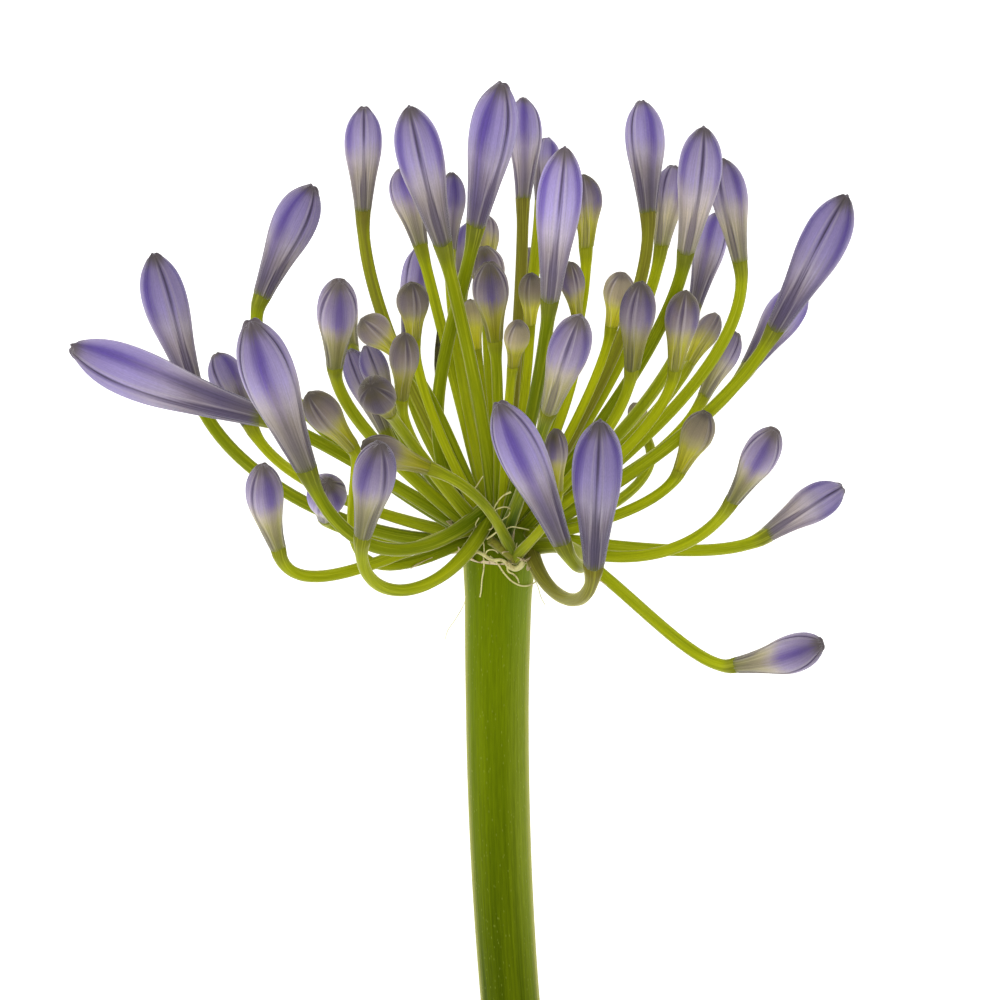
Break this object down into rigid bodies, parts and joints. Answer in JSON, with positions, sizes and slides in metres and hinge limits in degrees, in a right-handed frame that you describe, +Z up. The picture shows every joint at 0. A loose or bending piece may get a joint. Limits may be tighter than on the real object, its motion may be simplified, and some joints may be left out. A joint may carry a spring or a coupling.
{
  "type": "agapanthus flower head",
  "caption": "Cut agapanthus flower head in bud, lying down: stout scape, arched pedicels in a round umbel, closed violet and green buds.",
  "frame": {"origin": "middle of the bounding box in plan, at the surface that the head lies on", "axes": "+Y along the scape towards the crown of the umbel, +X to the right seen from above, +Z up"},
  "size_m": [0.1324, 0.1769, 0.0986],
  "materials": {
    "green_stem": "smooth waxy green flower stem and stalks",
    "ripe_bud": "satin violet petals with pale bands and dark seams",
    "young_bud": "satin young petals, green at the foot and grey violet at the tip"
  },
  "bodies": {
    "root": {"scape": "green_stem", "bud_01": "ripe_bud", "bud_02": "ripe_bud", "bud_03": "ripe_bud", "bud_04": "ripe_bud", "bud_05": "ripe_bud", "bud_06": "young_bud", "bud_07": "young_bud", "bud_08": "young_bud", "bud_09": "young_bud", "bud_10": "young_bud", "bud_11": "ripe_bud", "bud_12": "young_bud", "bud_13": "ripe_bud", "bud_14": "ripe_bud", "bud_15": "ripe_bud", "bud_16": "ripe_bud", "bud_17": "ripe_bud", "bud_18": "ripe_bud", "bud_19": "ripe_bud", "bud_20": "ripe_bud", "bud_21": "young_bud", "bud_22": "ripe_bud", "bud_23": "ripe_bud", "bud_24": "ripe_bud", "bud_25": "young_bud", "bud_26": "young_bud", "bud_27": "ripe_bud", "bud_28": "ripe_bud", "bud_29": "ripe_bud", "bud_30": "ripe_bud", "bud_31": "ripe_bud", "bud_32": "ripe_bud", "bud_33": "young_bud", "bud_34": "young_bud", "bud_35": "young_bud", "bud_36": "young_bud", "bud_37": "young_bud", "bud_38": "young_bud", "bud_39": "young_bud", "bud_40": "ripe_bud", "bud_41": "ripe_bud", "bud_42": "ripe_bud", "bud_43": "young_bud", "bud_44": "young_bud", "bud_45": "young_bud", "bud_46": "young_bud", "bud_47": "young_bud", "bud_48": "young_bud", "bud_49": "young_bud", "bud_50": "young_bud", "bud_51": "young_bud", "bud_52": "ripe_bud", "bud_53": "ripe_bud", "bud_54": "ripe_bud", "bud_55": "ripe_bud", "bud_56": "ripe_bud", "bud_57": "ripe_bud", "bud_58": "young_bud", "bud_59": "ripe_bud"}
  },
  "joints": []
}
